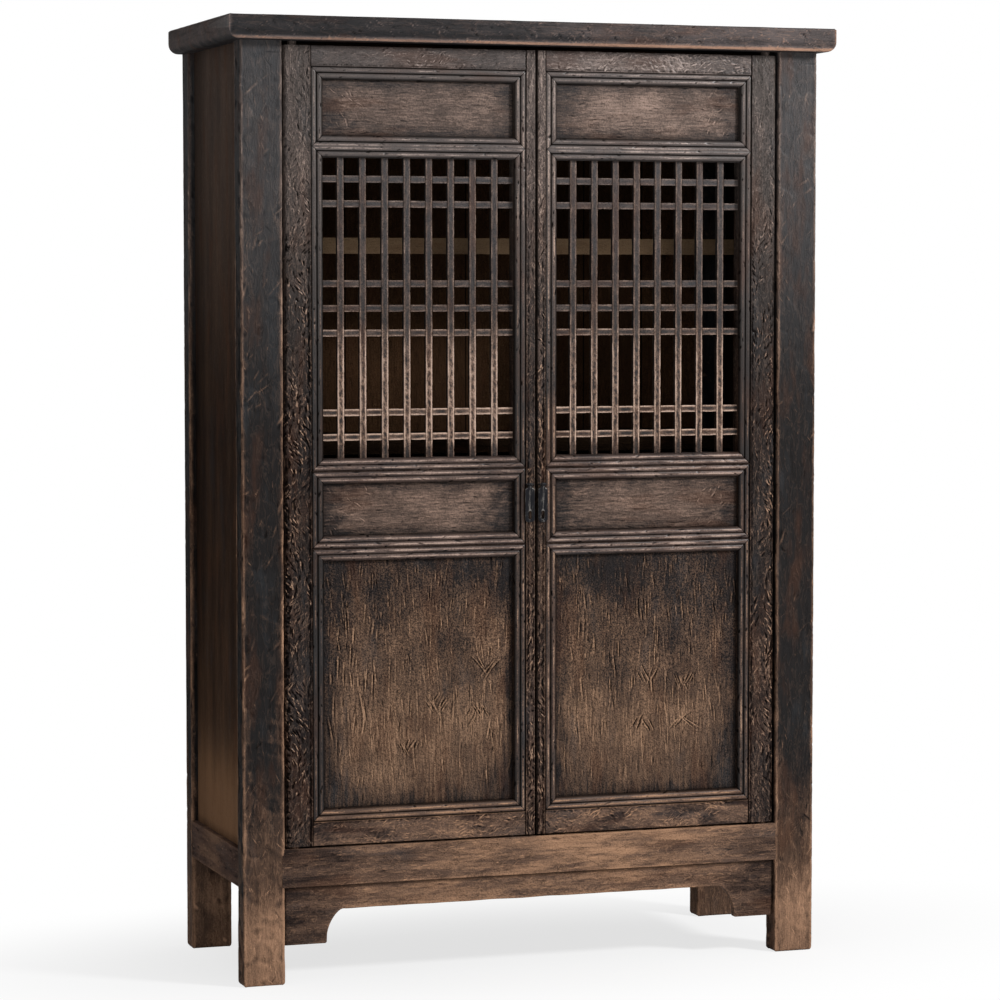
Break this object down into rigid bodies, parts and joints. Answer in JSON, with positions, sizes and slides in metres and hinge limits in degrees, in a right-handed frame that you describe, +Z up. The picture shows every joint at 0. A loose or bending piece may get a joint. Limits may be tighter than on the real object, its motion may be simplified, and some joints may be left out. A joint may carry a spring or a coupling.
{
  "type": "book cabinet",
  "caption": "Tall freestanding wooden book cabinet with pivot-hung panelled doors, square lattice windows, inner shelves, a shaped apron and iron drop pulls.",
  "frame": {"origin": "on the floor, under the middle of the top board", "axes": "+Z up, -Y towards the doors' front, +X to the right of a person facing the doors"},
  "size_m": [1.274, 0.502, 1.9],
  "materials": {
    "frame_wood": "weathered dark stain, satin",
    "panel_wood": "rubbed brown over dark stain, satin",
    "inner_wood": "dark stain, matte",
    "shelf_wood": "plain light wood, matte",
    "iron": "blackened, satin"
  },
  "bodies": {
    "carcase": {"front_left_post": "frame_wood", "front_right_post": "frame_wood", "back_left_post": "frame_wood", "back_right_post": "frame_wood", "top_board": "frame_wood", "front_bottom_rail": "frame_wood", "back_bottom_rail": "frame_wood", "left_bottom_rail": "frame_wood", "right_bottom_rail": "frame_wood", "front_top_rail": "inner_wood", "back_top_rail": "inner_wood", "left_top_rail": "inner_wood", "right_top_rail": "inner_wood", "door_stop": "inner_wood", "left_side_panel": "panel_wood", "right_side_panel": "panel_wood", "back_boards": "inner_wood", "floor_board": "inner_wood", "front_apron": "frame_wood", "upper_shelf": "shelf_wood", "upper_shelf_bearers": "shelf_wood", "middle_shelf": "shelf_wood", "middle_shelf_bearers": "shelf_wood", "lower_shelf": "shelf_wood", "lower_shelf_bearers": "shelf_wood"},
    "left_door": {"left_door_hinge_stile": "frame_wood", "left_door_meeting_stile": "frame_wood", "left_door_head_rail": "frame_wood", "left_door_frieze_rail": "frame_wood", "left_door_sill_rail": "frame_wood", "left_door_waist_rail": "frame_wood", "left_door_foot_rail": "frame_wood", "left_door_frieze_panel": "panel_wood", "left_door_waist_panel": "panel_wood", "left_door_skirt_panel": "panel_wood", "left_door_lattice_uprights": "frame_wood", "left_door_lattice_crossbars": "frame_wood", "left_door_pull_staple": "iron"},
    "right_door": {"right_door_hinge_stile": "frame_wood", "right_door_meeting_stile": "frame_wood", "right_door_head_rail": "frame_wood", "right_door_frieze_rail": "frame_wood", "right_door_sill_rail": "frame_wood", "right_door_waist_rail": "frame_wood", "right_door_foot_rail": "frame_wood", "right_door_frieze_panel": "panel_wood", "right_door_waist_panel": "panel_wood", "right_door_skirt_panel": "panel_wood", "right_door_lattice_uprights": "frame_wood", "right_door_lattice_crossbars": "frame_wood", "right_door_pull_staple": "iron"},
    "left_pull": {"left_door_pull_plate": "iron"},
    "right_pull": {"right_door_pull_plate": "iron"}
  },
  "joints": [
    {"name": "left_door_swing", "type": "hinge", "parent": "carcase", "child": "left_door", "pos_m": [-0.5, -0.203, 0.273], "axis": [0, 0, -1], "range_deg": [0, 105]},
    {"name": "right_door_swing", "type": "hinge", "parent": "carcase", "child": "right_door", "pos_m": [0.5, -0.203, 0.273], "axis": [0, 0, 1], "range_deg": [0, 105]},
    {"name": "left_pull_swing", "type": "hinge", "parent": "left_door", "child": "left_pull", "pos_m": [-0.0138, -0.2214, 0.98], "axis": [-1, 0, 0], "range_deg": [0, 170]},
    {"name": "right_pull_swing", "type": "hinge", "parent": "right_door", "child": "right_pull", "pos_m": [0.0138, -0.2214, 0.98], "axis": [-1, 0, 0], "range_deg": [0, 170]}
  ]
}
